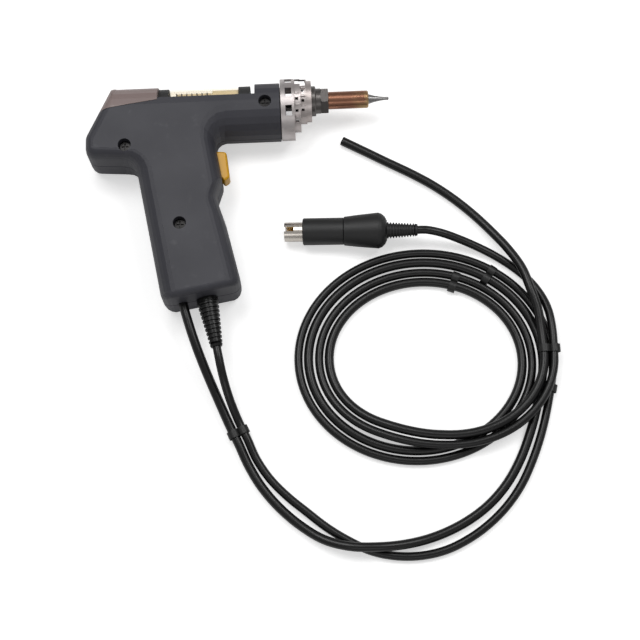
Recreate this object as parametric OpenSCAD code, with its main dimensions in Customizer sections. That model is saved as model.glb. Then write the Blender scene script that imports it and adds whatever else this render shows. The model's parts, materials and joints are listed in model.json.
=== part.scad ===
/* [Housing] */
// Half thickness of the grip and body
half_t = 21; // [20:0.1:23]
// Wall of both housing halves
wall = 2.4; // [2:0.1:2.8]
// Distance from the barrel's face back to the grip's throat
barrel_len = 45.6; // [44:0.1:48]
// Height of the barrel over the suction axis
barrel_top = 11.8; // [11.2:0.1:12.8]
// Depth of the barrel under the suction axis
barrel_drop = 26.8; // [26:0.1:29]
// Distance from the barrel's face to the body's rear end
body_len = 131.4; // [130:0.1:140]
// Depth of the grip's rear bottom corner under the suction axis
grip_drop = 143.1; // [138:0.1:155]

/* [Solder collector] */
// Outer radius of the glass tube
glass_r = 11.2; // [10.8:0.05:11.3]
// Wall of the glass tube
glass_wall = 1.2; // [1:0.05:1.4]
// Distance from the barrel's face back to the open bay over the tube
bay_front = 16.8; // [16:0.1:18]
// Length of the open bay
bay_len = 65.7; // [64:0.1:67]
// Outer radius of the rubber seals
seal_r = 11.9; // [11.8:0.05:12.1]
// Travel of the rear cap when the tube is released
cap_travel = 7; // [5:0.1:7]

/* [Heater] */
// Radius of the guard's rear drum
guard_r = 21; // [20:0.1:22]
// Radius of the guard's front drum
drum_r = 15.2; // [14.6:0.1:15.8]
// Width of the union nut across its flats
nut_af = 16.4; // [15:0.1:17.4]
// Radius of the heater sleeve
sleeve_r = 6; // [5.4:0.05:6.8]
// Length of the heater sleeve in front of the union nut
sleeve_len = 27.6; // [20:0.1:40]
// Length of the nozzle in front of the sleeve
nozzle_len = 14; // [8:0.1:24]
// Radius of the nozzle's suction hole
nozzle_bore_r = 0.5; // [0.3:0.05:0.65]

/* [Trigger] */
// Height of the trigger
trigger_h = 20.6; // [18:0.1:21]
// Thickness of the trigger
trigger_t = 13; // [10:0.1:13.2]
// How far the trigger stands out of the grip
trigger_out = 6.4; // [5:0.1:8]
// Travel of the trigger
trigger_travel = 2.5; // [1.5:0.1:2.6]

/* [Hose and cable] */
// Diameter of the vacuum hose
hose_d = 6.2; // [5.8:0.1:6.4]
// Diameter of the hose's bore
hose_bore_d = 3.6; // [3:0.1:4]
// Diameter of the electric cable
cable_d = 5.6; // [5:0.1:5.8]
// Length of the strain relief outside the grip
relief_len = 33.5; // [25:0.1:45]

/* [Plug] */
// Diameter of the plug's metal shell
shell_d = 13.2; // [12:0.1:14]
// Diameter of the plug's body
plug_d = 18.4; // [17:0.1:19.4]
// Largest diameter of the plug's back piece
plug_cap_d = 24.4; // [22:0.1:26]
// Length of the plug's body
plug_body_len = 27.5; // [22:0.1:35]

/* [Hidden] */

$fn = 48;
over = 1; // overrun of a cut past the face it opens
fit = 0.1; // clearance of a fixed piece in its seat
slide = 0.2; // clearance of a sliding piece in its guide
gap = 0.3; // clearance between separate bodies
lift = max(half_t, guard_r); // height of the mid-plane over the table

// Body outline, seen from the right: corners as [x, y, fillet radius], anticlockwise
end_r = 0.8;
crown_r = 6;
knee_r = 12;
butt_r = 6.5;
heel_r = 10;
saddle_r = 40;
palm_r = 7;
hump_r = 5;
throat_r = 6;
// Corners behind the grip as shares of body_len and grip_drop, before it of barrel_len
crown_share = 0.86;
knee_share = 0.175;
floor_share = 0.2865;
heel_share = [0.7527, 0.3026];
butt_share = 0.6248;
toe_share = [0.6404, 0.9378];
saddle_share = [0.8487, 0.6359];
palm_share = [0.9868, 0.4948];
hump_share = [0.8904, 0.4067];
outline = [
    [0, -barrel_drop, end_r],
    [0, barrel_top, end_r],
    [-crown_share * body_len, barrel_top, crown_r],
    [-body_len, -knee_share * grip_drop, knee_r],
    [-body_len, -floor_share * grip_drop, butt_r],
    [-heel_share[0] * body_len, -heel_share[1] * grip_drop, heel_r],
    [-butt_share * body_len, -grip_drop, butt_r],
    [-toe_share[0] * barrel_len, -toe_share[1] * grip_drop, butt_r],
    [-saddle_share[0] * barrel_len, -saddle_share[1] * grip_drop, saddle_r],
    [-palm_share[0] * barrel_len, -palm_share[1] * grip_drop, palm_r],
    [-hump_share[0] * barrel_len, -hump_share[1] * grip_drop, hump_r],
    [-barrel_len, -barrel_drop, throat_r]
];
bottom_edge = 6; // the edge from the butt to the toe
front_edge = 10; // the edge from the hump up to the throat
// Rounding of the edge after each corner towards the side faces, how far it draws in and
// how deep it runs, in shares of half_t
arch_share = [0.866, 0.952];
rounding_share = [
    [0.001, arch_share[1]], arch_share, [0.38, 0.57], [0.29, 0.43], [0.26, 0.48], [0.52, 0.71],
    [0.19, 0.24], [0.43, 0.62], [0.38, 0.62], [0.24, 0.57], [0.43, 0.67], arch_share
];
rounding = half_t * rounding_share;
corner_steps = 4;
rounding_steps = 6;
seam_groove = 0.35;
seam_width = 0.5;
curl_rings = 8;
wire_sides = 6;

function prior(list, i) = list[(i + len(list) - 1) % len(list)];
function following(list, i) = list[(i + 1) % len(list)];
function flat(p) = [p[0], p[1]];
function unit(v) = v / norm(v);
function turned(v, a) = [v[0] * cos(a) - v[1] * sin(a), v[0] * sin(a) + v[1] * cos(a)];
function cross2(a, b) = a[0] * b[1] - a[1] * b[0];
function inward(v) = [-v[1], v[0]];
function level(list, v) = [for (e = list) v];
function sum_to(list, n) = n < 0 ? 0 : list[n] + sum_to(list, n - 1);

// Rounded outline whose edges are drawn in by inset and lie at the heights given for each
function ring(corners, inset, heights, steps = corner_steps) = [
    for (i = [0 : len(corners) - 1])
        let (
            da = unit(flat(corners[i]) - flat(prior(corners, i))),
            db = unit(flat(following(corners, i)) - flat(corners[i])),
            na = inward(da),
            nb = inward(db),
            ia = prior(inset, i),
            ib = inset[i],
            shift = [ia * nb[1] - ib * na[1], ib * na[0] - ia * nb[0]] / cross2(na, nb),
            turn = atan2(cross2(da, db), da * db),
            side = turn > 0 ? 1 : -1,
            r = max(corners[i][2] - side * (ia + ib) / 2, end_r / 2),
            start = flat(corners[i]) + shift - r * tan(abs(turn) / 2) * da,
            centre = start + side * r * na,
            ha = prior(heights, i),
            hb = heights[i]
        )
        for (s = [0 : steps])
            let (p = centre - side * r * turned(na, turn * s / steps))
            [p[0], p[1], ha + (hb - ha) * s / steps]
];

// Triangles of a flat outline that may turn inwards, found by clipping its ears
function area2(a, b, c) = cross2(flat(b) - flat(a), flat(c) - flat(a));
function holds(a, b, c, p) = area2(a, b, p) >= 0 && area2(b, c, p) >= 0 && area2(c, a, p) >= 0;
function is_ear(points, order, k) =
    let (a = prior(order, k), b = order[k], c = following(order, k))
    area2(points[a], points[b], points[c]) > 0 && len([
        for (q = order)
            if (q != a && q != b && q != c && holds(points[a], points[b], points[c], points[q])) q
    ]) == 0;
function find_ear(points, order, k = 0) =
    k == len(order) - 1 || is_ear(points, order, k) ? k : find_ear(points, order, k + 1);
function clipped(points, order, done = []) =
    len(order) < 4 ? concat(done, [order]) :
    let (k = find_ear(points, order))
    clipped(
        points,
        [for (i = [0 : len(order) - 1]) if (i != k) order[i]],
        concat(done, [[prior(order, k), order[k], following(order, k)]])
    );
function lid(points) = clipped(points, [for (i = [0 : len(points) - 1]) i]);

// Closed solid through rings of equal count, the last ring above the first
module lofted(rings) {
    n = len(rings[0]);
    last = (len(rings) - 1) * n;
    polyhedron(
        points = [for (r = rings) each r],
        faces = concat(
            lid(rings[0]),
            [
                for (k = [0 : len(rings) - 2])
                    for (i = [0 : n - 1])
                        let (j = (i + 1) % n, a = k * n, b = a + n)
                        each [[a + i, b + i, b + j], [a + i, b + j, a + j]]
            ],
            [for (t = lid(rings[len(rings) - 1])) [last + t[2], last + t[1], last + t[0]]]
        )
    );
}

// Rings over the rounded side of the body, drawn in by skin all round
function side_rings(skin) =
    let (
        draw = [for (e = rounding) max(e[0] - skin, end_r / 10)],
        deep = [for (e = rounding) max(e[1] - skin, end_r)]
    )
    [
        for (k = [0 : rounding_steps])
            let (a = 90 * k / rounding_steps)
            ring(
                outline,
                [for (v = draw) skin + v * (1 - cos(a))],
                [for (v = deep) half_t - skin - v * (1 - sin(a))]
            )
    ];
function mirrored(rings) = [
    for (k = [len(rings) - 1 : -1 : 0]) [for (p = rings[k]) [p[0], p[1], -p[2]]]
];

// Right half of the body as a solid, with the seam's groove at the mid-plane
module outer_half() {
    lofted(concat(
        [
            ring(outline, level(outline, seam_groove), level(outline, 0)),
            ring(outline, level(outline, 0), level(outline, seam_width))
        ],
        side_rings(0)
    ));
}

// Space inside the right half
module inner_half() {
    lofted(concat(
        [ring(outline, level(outline, wall), level(outline, -over))],
        side_rings(wall)
    ));
}

// Whole body without a seam, drawn in by skin
module whole_body(skin = 0) {
    lofted(concat(mirrored(side_rings(skin)), side_rings(skin)));
}

// Round bar or cone along X from x0 to x1
module along_x(r, x0, x1, r2 = undef) {
    translate([x0, 0, 0])
        rotate([0, 90, 0])
            cylinder(h = x1 - x0, r1 = r, r2 = is_undef(r2) ? r : r2);
}

// Turned piece along X, from a profile of [radius, place along X]
module turned_x(profile) {
    rotate([0, 90, 0]) rotate_extrude() polygon(profile);
}

// Outer profile of a ribbed taper, as [radius, place along X]
function ribbed(r0, r1, x0, x1, count, depth) = [
    for (i = [0 : count - 1])
        for (s = [0, 1, 2, 3])
            let (
                t = (i + [0, 0.12, 0.5, 0.62][s]) / count,
                r = r0 + (r1 - r0) * t
            )
            [s == 1 || s == 2 ? r : r - depth, x0 + (x1 - x0) * t]
];

// Tube of radius r along a path of points, its rings level on the side away from axis
module tube(path, r, sides, axis = [0, 0, 1]) {
    last = len(path) - 1;
    points = [
        for (k = [0 : last])
            let (
                run = unit(path[min(k + 1, last)] - path[max(k - 1, 0)]),
                side = unit(cross(run, axis)),
                rise = cross(side, run)
            )
            for (s = [0 : sides - 1])
                let (b = 360 * s / sides)
                path[k] + r * (cos(b) * rise + sin(b) * side)
    ];
    polyhedron(
        points = points,
        faces = concat(
            [[for (s = [0 : sides - 1]) s]],
            [
                for (k = [0 : last - 1])
                    for (s = [0 : sides - 1])
                        let (t = (s + 1) % sides, a = k * sides, b = a + sides)
                        each [[a + s, b + s, b + t], [a + s, b + t, a + t]]
            ],
            [[for (s = [0 : sides - 1]) last * sides + sides - 1 - s]]
        )
    );
}

// Least distance between a path's points that are at least skip apart along it
function least_gap(path, skip) = min([
    for (i = [0 : len(path) - 1 - skip], j = [i + skip : len(path) - 1])
        norm(path[i] - path[j])
]);

// Wire spring along X from x0 to x1, of mean radius r
module spring(name, r, wire_r, x0, x1, curls) {
    reach = x1 - x0 - 2 * wire_r;
    rings = curls * curl_rings;
    path = [
        for (k = [0 : rings])
            let (a = 360 * k / curl_rings)
            [x0 + wire_r + reach * k / rings, r * cos(a), r * sin(a)]
    ];
    echo(str(name, ": least gap to itself ", least_gap(path, curl_rings / 2) - 2 * wire_r));
    tube(path, wire_r, wire_sides, [1, 0, 0]);
}

// Stack along the suction axis, from the barrel's face forwards
standoff = 0.7;
sheet = 1.1;
stage_len = [9, 4.3, 4.3, 3.3];
stage_r = [guard_r, (guard_r + drum_r) / 2, drum_r, drum_r - sheet];
function stage_x(i) = standoff + sum_to(stage_len, i - 1);
guard_front = stage_x(len(stage_len));
collar_r = 10.3;
collar_len = 3;
collar_neck_r = 8.6;
collar_neck_len = 3.4;
nut_x = guard_front + collar_len + collar_neck_len;
nut_len = 5.2;
nut_turn = 26.7;
nut_chamfer = 1.1;
sleeve_x = nut_x + nut_len;
sleeve_end = sleeve_x + sleeve_len;
nozzle_end = sleeve_end + nozzle_len;
core_r = 3.9;
core_back = 8;
pipe_r = 2;
pipe_bore_r = 1.2;
shank_len = 3;

// Lays the part on its left side with the middle of its box over the origin
low_y = min([for (p = ring(outline, level(outline, 0), level(outline, 0))) p[1]]);
mid_x = (nozzle_end - body_len) / 2;
mid_y = (max(drum_r, barrel_top) + low_y) / 2;
module laid() {
    translate([-mid_x, -mid_y, lift]) children();
}

// Grip frame: X out of the given edge, Y on along it, at a share of its length
module at_edge(edge, share) {
    a = flat(outline[edge]);
    b = flat(following(outline, edge));
    p = a + share * (b - a);
    translate([p[0], p[1], 0])
        rotate([0, 0, atan2(b[1] - a[1], b[0] - a[0]) - 90])
            children();
}

// Open bay over the glass tube, and the deck under the rear cap
bay_rear = bay_front + bay_len;
bay_edge = 1.6;
bay_r = seal_r + 2 * slide;
cradle_wall = 2;
cradle_r = bay_r + cradle_wall;
deck_drop = 3.3;
deck_slope = 8.7;
deck_t = 2;
pit_rear = bay_rear + cap_travel + slide + over;

// Region above the deck's slope behind the bay, lowered by drop
module above_deck(drop = 0) {
    translate([-bay_rear, -deck_drop - drop, -2 * half_t])
        rotate([0, 0, deck_slope])
            translate([-2 * body_len, 0, 0])
                cube([4 * body_len, body_len, 4 * half_t]);
}

// Everything behind the plane at x
module behind(x) {
    translate([x - 2 * body_len, -body_len, -2 * half_t])
        cube([2 * body_len, 2 * body_len, 4 * half_t]);
}

// Housing screws, as shares of body_len and grip_drop
screw_share = [[0.7953, 0.2446], [0.5228, 0.6394], [0.0761, 0.0517]];
screws = [for (s = screw_share) [-s[0] * body_len, -s[1] * grip_drop]];
screw_r = 1.5;
screw_head_r = 3.4;
screw_head_h = 2.2;
screw_hold = 11;
recess_r = 4.35;
recess_floor = 0.68 * half_t;
boss_r = 5.6;

// Screws that hold the guard on the barrel's face
guard_screw_r = 1.2;
guard_screw_head_r = 2.2;
guard_screw_len = 7;
guard_screw_z = 0.55 * guard_r;
guard_screw_y = [0.29 * barrel_top, drum_r - 1.53 * guard_r];
guard_boss_r = 3.4;

// Line of the hose inside the grip, from the suction axis down to its exit
hose_share = 0.244;
elbow_share = 0.409; // of the rear cap's length, from the bay back to the elbow
hose_r = hose_d / 2;
hose_stub = 0.3;
butt = flat(outline[bottom_edge]);
toe = flat(outline[bottom_edge + 1]);
hose_exit = butt + hose_share * (toe - butt);
elbow_x = -bay_rear - elbow_share * (body_len - bay_rear);
hose_lean = atan2(hose_exit[0] - elbow_x, -hose_exit[1]);
hose_reach = norm([elbow_x, 0] - hose_exit);
module on_hose() {
    translate([elbow_x, 0, 0]) rotate([0, 0, hose_lean - 90]) children();
}

// Elbow that joins the sliding suction pipe to the hose
elbow_r = 4.4;
elbow_leg_r = 3.8;
elbow_leg = 13;
elbow_barb = 6;
elbow_foot_r = 5.4;
elbow_foot_t = 1.5;
elbow_ahead = 5.2;
elbow_behind = 5.8;
pipe_grip = 1.5;

// Strain relief in the grip's bottom
relief_share = 0.546;
relief_neck_r = 6.6;
relief_root_r = 7.2;
relief_root_len = 3;
relief_rim = 1.5;
relief_flange_r = 8.4;
relief_flange_t = 2.2;
relief_ribs = 10;
rib_depth = 0.9;
cable_r = cable_d / 2;

// Trigger, switch and spring in the trigger's frame
trigger_share = 0.37;
slot_play = 0.45;
slot_side = trigger_t / 2 + slide;
nose_share = 0.57; // of trigger_h, the trigger's lowest point
crest_share = 0.5; // of trigger_h, its highest
tail_share = [0.44, 0.47]; // of trigger_h, the part behind the wall, down and up
flange_t = 2;
flange_side = slot_side + 1.5;
flange_back = wall + gap + flange_t;
edge_r = 1.2;
plunger_r = 1.4;
plunger_v = 0.24 * trigger_h;
plunger_in = 2.3;
switch_size = [10, 19.8, 6.4];
switch_x = flange_back + gap + trigger_travel + 0.7 * wall;
switch_low = -1;
spring_v = -0.29 * trigger_h;
spring_wire_r = 0.25;
spring_r = 1.9;
nub_r = spring_r - spring_wire_r - slide;
nub_len = 1.8;
seat_x = flange_back + trigger_travel + 7;

// Inner walls and bosses of the right half
module ribs() {
    difference() {
        union() {
            along_x(cradle_r, -pit_rear - cradle_wall, -bay_front + over);
            translate([-bay_rear, -bay_edge - cradle_wall, 0])
                cube([bay_len, cradle_wall, half_t]);
            intersection() {
                above_deck(deck_t);
                behind(-bay_rear);
                translate([-body_len, -body_len / 2, 0]) cube([body_len, body_len, half_t]);
            }
        }
        along_x(bay_r, -pit_rear, 0);
        translate([-bay_rear, -bay_edge, -over])
            cube([body_len, body_len, 2 * half_t]);
    }
    translate([-bay_front, -cradle_r, 0]) cube([wall, cradle_r + barrel_top, half_t]);
    for (s = screws)
        translate([s[0], s[1], 0]) cylinder(h = half_t, r = boss_r);
    for (y = guard_screw_y)
        translate([0, y, guard_screw_z]) along_x(guard_boss_r, -guard_screw_len, 0);
    at_edge(front_edge, trigger_share) {
        translate([
            -switch_x - 0.8 * switch_size[0], switch_low + 0.2 * switch_size[1],
            switch_size[2] / 2
        ])
            cube([0.6 * switch_size[0], 0.6 * switch_size[1], half_t]);
        translate([-seat_x - wall, spring_v - spring_r - wall, 0])
            cube([wall, 2 * (spring_r + wall), half_t]);
        translate([0, spring_v, 0]) along_x(nub_r, -seat_x - wall / 2, -seat_x + nub_len);
    }
    on_hose() along_x(hose_r + wall, hose_reach - 3 * wall, hose_reach + wall);
    at_edge(bottom_edge, relief_share)
        along_x(relief_flange_r + wall, -2 * wall - relief_flange_t, -wall / 2);
}

// What is cut from the right half and its ribs
module half_cuts() {
    translate([-bay_rear, -bay_edge, -over])
        cube([bay_len, 2 * barrel_top, 2 * half_t]);
    intersection() {
        above_deck();
        behind(-bay_rear + fit);
    }
    along_x(bay_r, -pit_rear, -bay_front);
    along_x(core_r + fit, -core_back - fit, over);
    along_x(pipe_r + fit, -bay_front - over, 0);
    for (y = guard_screw_y)
        translate([0, y, guard_screw_z])
            along_x(guard_screw_r + fit, -guard_screw_len, over);
    at_edge(front_edge, trigger_share)
        translate([-2 * wall, -nose_share * trigger_h - slot_play, -over])
            cube([
                4 * wall, (nose_share + crest_share) * trigger_h + 2 * slot_play,
                slot_side + over
            ]);
    on_hose() {
        along_x(elbow_leg_r + gap, 0, elbow_leg + gap);
        along_x(hose_r + fit, elbow_leg, hose_reach + 2 * wall);
    }
    at_edge(bottom_edge, relief_share) {
        along_x(relief_neck_r + fit, -3 * wall - relief_flange_t, 2 * wall);
        along_x(relief_flange_r + fit, -wall - relief_flange_t - fit, -wall + fit);
    }
}

module half_shell() {
    difference() {
        union() {
            difference() {
                outer_half();
                inner_half();
            }
            intersection() {
                outer_half();
                ribs();
            }
        }
        half_cuts();
    }
}

housing_color = [0.29, 0.29, 0.32];

module housing_right() {
    color(housing_color) laid() difference() {
        half_shell();
        for (s = screws) translate([s[0], s[1], 0]) {
            translate([0, 0, recess_floor]) cylinder(h = half_t, r = recess_r);
            translate([0, 0, -over]) cylinder(h = half_t, r = screw_r + fit);
        }
    }
}

module housing_left() {
    color(housing_color) laid() mirror([0, 0, 1]) difference() {
        half_shell();
        for (s = screws)
            translate([s[0], s[1], -over])
                cylinder(h = screw_hold + over, r = screw_r + fit);
    }
}

module housing_screws() {
    color("silver") laid() for (s = screws) translate([s[0], s[1], 0]) difference() {
        union() {
            translate([0, 0, fit - screw_hold])
                cylinder(h = screw_hold + recess_floor, r = screw_r);
            translate([0, 0, recess_floor]) cylinder(h = screw_head_h, r = screw_head_r);
        }
        for (a = [0, 90])
            rotate([0, 0, a])
                translate([
                    -0.7 * screw_head_r, -screw_head_r / 8, recess_floor + screw_head_h / 2
                ])
                    cube([1.4 * screw_head_r, screw_head_r / 4, screw_head_h]);
    }
}

// Rear cap over the body's rear end, its front wall behind the tube's rear seal
cap_wall = 2;
module rear_cap() {
    color([0.55, 0.49, 0.47]) laid() difference() {
        intersection() {
            whole_body();
            above_deck(-gap);
            behind(-bay_rear);
        }
        intersection() {
            whole_body(cap_wall);
            behind(-bay_rear - cap_wall);
        }
        along_x(pipe_r + fit, -bay_rear - 2 * cap_wall, -bay_rear + over);
    }
}

// Rubber seals at both ends of the glass, each with a lip round it and a spigot inside
seal_base = 2.8;
seal_lip = 4;
spigot_len = 1.6;
spigot_r = 4.5;
glass_bore_r = glass_r - glass_wall;
front_neck_r = 6;
front_neck = 3.2;
front_base = 4.4;
front_lip = 3.6;
glass_front = bay_front + front_neck + front_base;
glass_rear = bay_rear - seal_base - gap;
seal_color = [0.08, 0.08, 0.08];

module rear_seal() {
    face = seal_base - bay_rear;
    color(seal_color) laid() turned_x([
        [pipe_r + fit, -bay_rear], [seal_r, -bay_rear], [seal_r, face + seal_lip],
        [glass_r + slide, face + seal_lip], [glass_r + slide, face],
        [glass_bore_r - slide, face], [glass_bore_r - slide, face + spigot_len],
        [spigot_r, face + spigot_len], [spigot_r, face], [pipe_r + fit, face]
    ]);
}

module front_seal() {
    neck = -bay_front - front_neck;
    color(seal_color) laid() turned_x([
        [pipe_r + fit, -bay_front], [front_neck_r, -bay_front], [front_neck_r, neck],
        [seal_r, neck], [seal_r, -glass_front - front_lip],
        [glass_r + fit, -glass_front - front_lip], [glass_r + fit, -glass_front],
        [glass_bore_r - fit, -glass_front], [glass_bore_r - fit, -glass_front - spigot_len],
        [spigot_r, -glass_front - spigot_len], [spigot_r, -glass_front],
        [pipe_r + fit, -glass_front]
    ]);
}

module glass_tube() {
    color([0.85, 0.9, 0.9, 0.35]) laid() turned_x([
        [glass_bore_r, -glass_rear], [glass_r, -glass_rear], [glass_r, -glass_front - fit],
        [glass_bore_r, -glass_front - fit]
    ]);
}

// Filter and baffle inside the glass, from the front
filter_x = glass_front + 3.5;
filter_len = 18;
filter_core_r = 7.6;
filter_core_len = 22;
baffle_len = 25.5;
baffle_curls = 7;
baffle_wire_r = 0.45;
baffle_r = glass_bore_r - slide - baffle_wire_r - 0.4;

module cotton_filter() {
    color([0.94, 0.89, 0.75]) laid() difference() {
        along_x(glass_bore_r - slide, -filter_x - filter_len, -filter_x);
        along_x(pipe_r + fit, -filter_x - pipe_grip, -filter_x + over);
    }
}

module filter_core() {
    color([0.92, 0.86, 0.7]) laid()
        along_x(filter_core_r, -filter_x - filter_len - filter_core_len, -filter_x - filter_len);
}

module baffle_spring() {
    color([0.6, 0.58, 0.55]) laid()
        spring(
            "baffle_spring", baffle_r, baffle_wire_r, -filter_x - filter_len - baffle_len,
            -filter_x - filter_len - fit, baffle_curls
        );
}

module hot_pipe() {
    color("gainsboro") laid() turned_x([
        [pipe_bore_r, -filter_x - pipe_grip + fit], [pipe_r, -filter_x - pipe_grip + fit],
        [pipe_r, sleeve_end - shank_len], [pipe_bore_r, sleeve_end - shank_len]
    ]);
}

// Steel pipe that takes the suction from the tube into the elbow, and slides in it
pipe_nose = 2.6;
module suction_pipe() {
    rear = elbow_x + elbow_ahead - pipe_grip;
    color("gainsboro") laid() turned_x([
        [pipe_bore_r, rear], [pipe_r, rear], [pipe_r, pipe_nose - bay_rear],
        [pipe_bore_r, pipe_nose - bay_rear]
    ]);
}

latch_wire_r = 0.35;
latch_curls = 5;
module latch_spring() {
    color("silver") laid()
        spring(
            "latch_spring", pipe_r + gap + latch_wire_r, latch_wire_r, elbow_x + elbow_ahead + fit,
            -bay_rear - cap_wall - fit, latch_curls
        );
}

module vacuum_elbow() {
    color([0.1, 0.1, 0.1]) laid() difference() {
        union() {
            along_x(elbow_r, elbow_x - elbow_behind, elbow_x + elbow_ahead);
            on_hose() {
                along_x(elbow_leg_r, 0, elbow_leg);
                along_x(elbow_foot_r, elbow_r - slide, elbow_r - slide + elbow_foot_t);
                along_x(hose_bore_d / 2 - fit, elbow_leg, elbow_leg + elbow_barb);
            }
        }
        along_x(
            pipe_r + slide, elbow_x + elbow_ahead - pipe_grip - cap_travel - gap,
            elbow_x + elbow_ahead + over
        );
        on_hose() along_x(hose_bore_d / 3, 0, elbow_leg + elbow_barb + over);
    }
}

module inner_hose() {
    color([0.1, 0.1, 0.1]) laid() on_hose() difference() {
        along_x(hose_r, elbow_leg, hose_reach + hose_stub);
        along_x(hose_bore_d / 2, elbow_leg - over, hose_reach + hose_stub + over);
    }
}

// Heat guard: four drums in one sheet, level at the top, stepping in towards the nozzle
window_len_share = [0.48, 0.79]; // of the rear drum, and of the two middle ones
window_w = 7;
window_margin = 0.7;
slat_w = 1.8;
guard_mouth_r = 8.8;
rear_hole_r = 9.5;
rear_windows = [-24, 12, 48, 90, 132, 168, 204];
drum_windows = [38, 90, 142];
lower_slots = [-8, -34, -58, 188, 214, 238];

// Axis of a drum of radius r, lowered so that the drums are nearly level at the top
fall_share = 0.03; // of what a drum is smaller than the rear one
module stage_axis(r) {
    translate([0, drum_r - r - fall_share * (guard_r - r), 0]) children();
}

// Cut of the given width from the axis out to the side, at an angle from the side upwards
module window(angle, x0, x1, w) {
    rotate([-angle, 0, 0])
        translate([x0, -w / 2, 0]) cube([x1 - x0, w, 2 * guard_r]);
}

module heat_guard() {
    color([0.72, 0.7, 0.67]) laid() difference() {
        union() {
            for (i = [0 : len(stage_len) - 1])
                stage_axis(max(stage_r[i], drum_r))
                    along_x(stage_r[i], stage_x(i), stage_x(i + 1));
            for (y = guard_screw_y, z = [-guard_screw_z, guard_screw_z])
                translate([0, y, z]) along_x(guard_screw_head_r, 0, standoff + sheet);
        }
        for (i = [0 : len(stage_len) - 1])
            stage_axis(max(stage_r[i], drum_r))
                along_x(
                    stage_r[i] - sheet, stage_x(i) + (i == 0 ? sheet : -sheet),
                    stage_x(i + 1) - sheet
                );
        along_x(rear_hole_r, -over, standoff + 2 * sheet);
        along_x(guard_mouth_r, guard_front - 2 * sheet, guard_front + over);
        for (y = guard_screw_y, z = [-guard_screw_z, guard_screw_z])
            translate([0, y, z])
                along_x(guard_screw_r + fit, -over, standoff + 2 * sheet);
        stage_axis(guard_r)
            for (a = rear_windows)
                window(
                    a, stage_x(1) - 1.5 * sheet - window_len_share[0] * stage_len[0],
                    stage_x(1) - 1.5 * sheet, window_w
                );
        for (a = drum_windows)
            window(a, stage_x(1) + window_margin, stage_x(3) - window_margin, 1.3 * window_w);
        stage_axis(stage_r[1])
            for (a = lower_slots)
                window(
                    a, stage_x(1) + window_margin, stage_x(2) - sheet - window_margin / 2, slat_w
                );
        for (a = lower_slots)
            window(a + 13, stage_x(2) + window_margin, stage_x(3) - 1.5 * sheet, slat_w);
    }
}

// Thin insulating plate between the barrel's face and the lower half of the guard
module guard_insulator() {
    color([0.05, 0.05, 0.05]) laid() difference() {
        stage_axis(guard_r) along_x(guard_r - sheet, fit / 2, standoff - fit / 2);
        along_x(rear_hole_r, -over, over);
        translate([-over, -0.1 * barrel_drop, -guard_r])
            cube([2 * over, 2 * guard_r, 2 * guard_r]);
        for (z = [-guard_screw_z, guard_screw_z])
            translate([0, guard_screw_y[1], z])
                along_x(guard_screw_head_r + fit, -over, over);
    }
}

module guard_screws() {
    color("silver") laid() for (y = guard_screw_y, z = [-guard_screw_z, guard_screw_z])
        translate([0, y, z]) {
            along_x(guard_screw_r, fit - guard_screw_len, standoff + sheet);
            along_x(
                guard_screw_head_r, standoff + sheet, standoff + sheet + guard_screw_r,
                0.7 * guard_screw_head_r
            );
        }
}

// Heater: carrier with cooling fins, rod and the sleeve held by the union nut
carrier_r = 6;
carrier_back = 10;
fin_r = 9.6;
fin_t = 1.1;
fins = 4;
module heater_core() {
    pitch = (stage_x(3) - stage_x(1)) / fins;
    color([0.22, 0.2, 0.19]) laid() difference() {
        union() {
            along_x(core_r, -core_back, sleeve_end - shank_len);
            along_x(carrier_r, carrier_back, guard_front);
            for (i = [0 : fins - 1])
                along_x(
                    fin_r, carrier_back + i * pitch + fin_t / 2,
                    carrier_back + i * pitch + 1.5 * fin_t
                );
        }
        along_x(pipe_r + fit, -core_back - over, sleeve_end);
    }
}

module heater_collar() {
    color([0.3, 0.29, 0.29]) laid() turned_x([
        [core_r + fit, guard_front], [collar_r, guard_front],
        [collar_r, guard_front + collar_len - sheet / 2],
        [collar_r - sheet / 2, guard_front + collar_len],
        [collar_neck_r, guard_front + collar_len], [collar_neck_r, nut_x],
        [core_r + fit, nut_x]
    ]);
}

module union_nut() {
    corner_r = nut_af / sqrt(3);
    color([0.36, 0.35, 0.35]) laid() difference() {
        intersection() {
            rotate([nut_turn, 0, 0])
                translate([nut_x, 0, 0])
                    rotate([0, 90, 0]) cylinder(h = nut_len, r = corner_r, $fn = 6);
            turned_x([
                [0, nut_x], [corner_r - nut_chamfer, nut_x], [corner_r, nut_x + nut_chamfer / 2],
                [corner_r, sleeve_x - nut_chamfer / 2], [corner_r - nut_chamfer, sleeve_x],
                [0, sleeve_x]
            ]);
        }
        along_x(sleeve_r + fit, nut_x - over, sleeve_x + over);
    }
}

sleeve_edge = 1;
module heater_sleeve() {
    color([0.66, 0.43, 0.3]) laid() turned_x([
        [core_r + fit, nut_x + fit], [sleeve_r - fit, nut_x + fit],
        [sleeve_r - fit, sleeve_x + sleeve_edge / 2], [sleeve_r, sleeve_x + sleeve_edge / 2],
        [sleeve_r, sleeve_end - sleeve_edge],
        [sleeve_r - 0.3 * sleeve_edge, sleeve_end - 0.3 * sleeve_edge],
        [sleeve_r - sleeve_edge, sleeve_end], [core_r + fit, sleeve_end]
    ]);
}

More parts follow.
